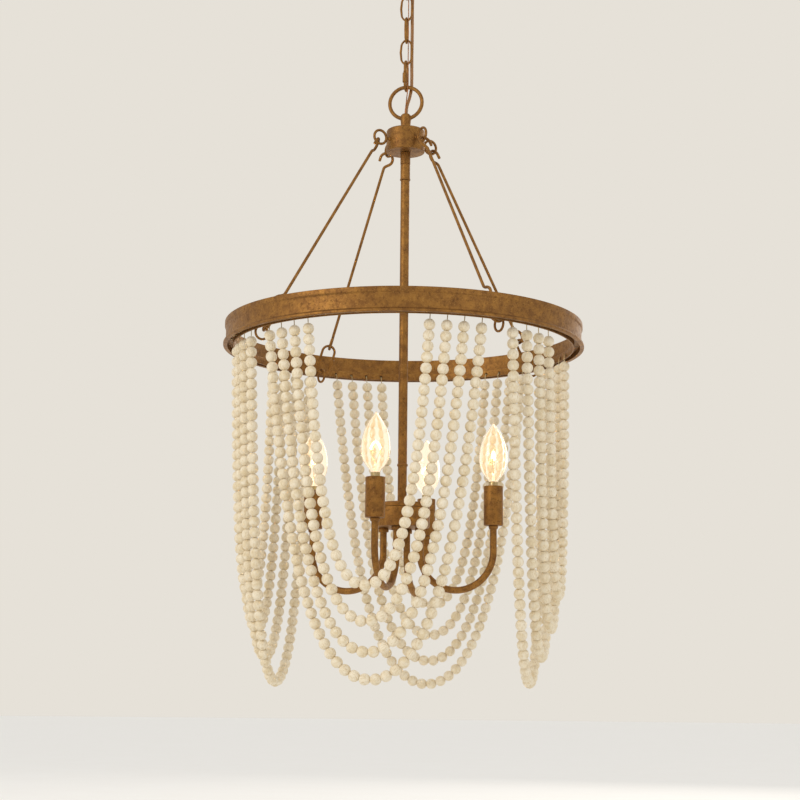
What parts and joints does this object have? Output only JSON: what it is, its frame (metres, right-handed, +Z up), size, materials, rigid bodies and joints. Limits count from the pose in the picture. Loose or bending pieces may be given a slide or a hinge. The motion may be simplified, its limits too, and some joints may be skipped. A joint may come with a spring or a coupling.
{
  "type": "beaded chandelier",
  "caption": "Chain-hung ring chandelier with draped bead strands, hanging rods and candle lamps on curved arms.",
  "frame": {"origin": "middle of the ceiling plane, on the canopy's axis", "axes": "+Z up to the ceiling; -Y out through the middle of one group of bead swags; the rods stand at 45 degrees to X and Y"},
  "size_m": [0.46, 0.46, 1.0111],
  "materials": {
    "aged_gold_metal": "mottled antique gold lacquer over steel, satin",
    "bead_wood": "turned wooden beads, whitewashed, matt",
    "bulb_glass": "clear blown glass",
    "cord_jacket": "clear amber cord jacket",
    "bare_copper": "bare drawn copper wire",
    "lamp_holder_plastic": "moulded lamp holder",
    "zinc_steel": "zinc plated steel"
  },
  "bodies": {
    "ceiling_fitting": {"ceiling_bar": "zinc_steel", "threaded_nipple": "zinc_steel", "canopy": "aged_gold_metal", "canopy_loop": "aged_gold_metal", "supply_cord": "cord_jacket", "ground_wire": "bare_copper"},
    "chain_top": {"chain_link_1": "aged_gold_metal"},
    "chain": {"chain_link_2": "aged_gold_metal", "chain_link_3": "aged_gold_metal", "chain_link_4": "aged_gold_metal"},
    "chain_end": {"chain_quick_link": "aged_gold_metal"},
    "fixture": {"hub_loop": "aged_gold_metal", "hub": "aged_gold_metal", "stem_coupling": "aged_gold_metal", "stem_tube": "aged_gold_metal", "stem_collar": "aged_gold_metal", "body_lid": "aged_gold_metal", "body_cup": "aged_gold_metal", "arm_1": "aged_gold_metal", "lamp_holder_1": "lamp_holder_plastic", "candle_sleeve_1": "aged_gold_metal", "arm_2": "aged_gold_metal", "lamp_holder_2": "lamp_holder_plastic", "candle_sleeve_2": "aged_gold_metal", "arm_3": "aged_gold_metal", "lamp_holder_3": "lamp_holder_plastic", "candle_sleeve_3": "aged_gold_metal", "arm_4": "aged_gold_metal", "lamp_holder_4": "lamp_holder_plastic", "candle_sleeve_4": "aged_gold_metal"},
    "ring": {"ring": "aged_gold_metal"},
    "rod_1": {"hanging_rod_1": "aged_gold_metal", "rod_quick_link_1": "aged_gold_metal"},
    "rod_2": {"hanging_rod_2": "aged_gold_metal", "rod_quick_link_2": "aged_gold_metal"},
    "rod_3": {"hanging_rod_3": "aged_gold_metal", "rod_quick_link_3": "aged_gold_metal"},
    "rod_4": {"hanging_rod_4": "aged_gold_metal", "rod_quick_link_4": "aged_gold_metal"},
    "lamp_1": {"bulb_1": "bulb_glass"},
    "lamp_2": {"bulb_2": "bulb_glass"},
    "lamp_3": {"bulb_3": "bulb_glass"},
    "lamp_4": {"bulb_4": "bulb_glass"},
    "beads_front_1": {"strand_front_1": "bead_wood"},
    "beads_front_2": {"strand_front_2": "bead_wood"},
    "beads_front_3": {"strand_front_3": "bead_wood"},
    "beads_front_4": {"strand_front_4": "bead_wood"},
    "beads_right_1": {"strand_right_1": "bead_wood"},
    "beads_right_2": {"strand_right_2": "bead_wood"},
    "beads_right_3": {"strand_right_3": "bead_wood"},
    "beads_right_4": {"strand_right_4": "bead_wood"},
    "beads_back_1": {"strand_back_1": "bead_wood"},
    "beads_back_2": {"strand_back_2": "bead_wood"},
    "beads_back_3": {"strand_back_3": "bead_wood"},
    "beads_back_4": {"strand_back_4": "bead_wood"},
    "beads_left_1": {"strand_left_1": "bead_wood"},
    "beads_left_2": {"strand_left_2": "bead_wood"},
    "beads_left_3": {"strand_left_3": "bead_wood"},
    "beads_left_4": {"strand_left_4": "bead_wood"}
  },
  "joints": [
    {"name": "chain_top_swing", "type": "hinge", "parent": "ceiling_fitting", "child": "chain_top", "pos_m": [0, 0, -0.0805], "axis": [1, 0, 0], "range_deg": [-12, 12], "deforming": ["supply_cord", "ground_wire"]},
    {"name": "chain_side_swing", "type": "hinge", "parent": "chain_top", "child": "chain", "pos_m": [0, 0, -0.1099], "axis": [0, 1, 0], "range_deg": [-12, 12], "deforming": ["supply_cord", "ground_wire"]},
    {"name": "chain_quick_link_swing", "type": "hinge", "parent": "chain", "child": "chain_end", "pos_m": [0, 0, -0.2008], "axis": [1, 0, 0], "range_deg": [-12, 12], "deforming": ["supply_cord", "ground_wire"]},
    {"name": "fixture_swing", "type": "hinge", "parent": "chain_end", "child": "fixture", "pos_m": [0, 0, -0.2368], "axis": [0, 1, 0], "range_deg": [-12, 12], "deforming": ["supply_cord", "ground_wire"]},
    {"name": "ring_twist", "type": "hinge", "parent": "fixture", "child": "ring", "pos_m": [0, 0, -0.5691], "axis": [0, 0, 1], "range_deg": [-8, 8], "stiffness_Nm_per_rad": 0.67},
    {"name": "rod_1_turn", "type": "hinge", "parent": "fixture", "child": "rod_1", "pos_m": [0.03087, -0.03087, -0.31506], "axis": [0, 0, 1], "range_deg": [-11, 11]},
    {"name": "rod_2_turn", "type": "hinge", "parent": "fixture", "child": "rod_2", "pos_m": [0.03087, 0.03087, -0.31506], "axis": [0, 0, 1], "range_deg": [-11, 11]},
    {"name": "rod_3_turn", "type": "hinge", "parent": "fixture", "child": "rod_3", "pos_m": [-0.03087, 0.03087, -0.31506], "axis": [0, 0, 1], "range_deg": [-11, 11]},
    {"name": "rod_4_turn", "type": "hinge", "parent": "fixture", "child": "rod_4", "pos_m": [-0.03087, -0.03087, -0.31506], "axis": [0, 0, 1], "range_deg": [-11, 11]},
    {"name": "bulb_1_turn", "type": "hinge", "parent": "fixture", "child": "lamp_1", "pos_m": [-0.00823, -0.11771, -0.7613], "axis": [0, 0, 1], "continuous": true},
    {"name": "bulb_2_turn", "type": "hinge", "parent": "fixture", "child": "lamp_2", "pos_m": [0.11771, -0.00823, -0.7613], "axis": [0, 0, 1], "continuous": true},
    {"name": "bulb_3_turn", "type": "hinge", "parent": "fixture", "child": "lamp_3", "pos_m": [0.00823, 0.11771, -0.7613], "axis": [0, 0, 1], "continuous": true},
    {"name": "bulb_4_turn", "type": "hinge", "parent": "fixture", "child": "lamp_4", "pos_m": [-0.11771, 0.00823, -0.7613], "axis": [0, 0, 1], "continuous": true},
    {"name": "strand_front_1_sway", "type": "hinge", "parent": "ring", "child": "beads_front_1", "pos_m": [0, -0.20037, -0.5801], "axis": [1, 0, 0], "range_deg": [-10, 10]},
    {"name": "strand_front_2_sway", "type": "hinge", "parent": "ring", "child": "beads_front_2", "pos_m": [0, -0.19222, -0.5801], "axis": [1, 0, 0], "range_deg": [-10, 10]},
    {"name": "strand_front_3_sway", "type": "hinge", "parent": "ring", "child": "beads_front_3", "pos_m": [0, -0.18204, -0.5801], "axis": [1, 0, 0], "range_deg": [-10, 10]},
    {"name": "strand_front_4_sway", "type": "hinge", "parent": "ring", "child": "beads_front_4", "pos_m": [0, -0.16915, -0.5801], "axis": [1, 0, 0], "range_deg": [-10, 10]},
    {"name": "strand_right_1_sway", "type": "hinge", "parent": "ring", "child": "beads_right_1", "pos_m": [0.19667, 0, -0.5801], "axis": [0, 1, 0], "range_deg": [-10, 10]},
    {"name": "strand_right_2_sway", "type": "hinge", "parent": "ring", "child": "beads_right_2", "pos_m": [0.18727, 0, -0.5801], "axis": [0, 1, 0], "range_deg": [-10, 10]},
    {"name": "strand_right_3_sway", "type": "hinge", "parent": "ring", "child": "beads_right_3", "pos_m": [0.17553, 0, -0.5801], "axis": [0, 1, 0], "range_deg": [-10, 10]},
    {"name": "strand_right_4_sway", "type": "hinge", "parent": "ring", "child": "beads_right_4", "pos_m": [0.16113, 0, -0.5801], "axis": [0, 1, 0], "range_deg": [-10, 10]},
    {"name": "strand_back_1_sway", "type": "hinge", "parent": "ring", "child": "beads_back_1", "pos_m": [0, 0.20037, -0.5801], "axis": [-1, 0, 0], "range_deg": [-10, 10]},
    {"name": "strand_back_2_sway", "type": "hinge", "parent": "ring", "child": "beads_back_2", "pos_m": [0, 0.19222, -0.5801], "axis": [-1, 0, 0], "range_deg": [-10, 10]},
    {"name": "strand_back_3_sway", "type": "hinge", "parent": "ring", "child": "beads_back_3", "pos_m": [0, 0.18204, -0.5801], "axis": [-1, 0, 0], "range_deg": [-10, 10]},
    {"name": "strand_back_4_sway", "type": "hinge", "parent": "ring", "child": "beads_back_4", "pos_m": [0, 0.16915, -0.5801], "axis": [-1, 0, 0], "range_deg": [-10, 10]},
    {"name": "strand_left_1_sway", "type": "hinge", "parent": "ring", "child": "beads_left_1", "pos_m": [-0.19667, 0, -0.5801], "axis": [0, -1, 0], "range_deg": [-10, 10]},
    {"name": "strand_left_2_sway", "type": "hinge", "parent": "ring", "child": "beads_left_2", "pos_m": [-0.18727, 0, -0.5801], "axis": [0, -1, 0], "range_deg": [-10, 10]},
    {"name": "strand_left_3_sway", "type": "hinge", "parent": "ring", "child": "beads_left_3", "pos_m": [-0.17553, 0, -0.5801], "axis": [0, -1, 0], "range_deg": [-10, 10]},
    {"name": "strand_left_4_sway", "type": "hinge", "parent": "ring", "child": "beads_left_4", "pos_m": [-0.16113, 0, -0.5801], "axis": [0, -1, 0], "range_deg": [-10, 10]}
  ],
  "couplings": [
    {"joint": "rod_1_turn", "follows": "ring_twist", "ratio": 1.2733},
    {"joint": "rod_2_turn", "follows": "ring_twist", "ratio": 1.2733},
    {"joint": "rod_3_turn", "follows": "ring_twist", "ratio": 1.2733},
    {"joint": "rod_4_turn", "follows": "ring_twist", "ratio": 1.2733}
  ]
}
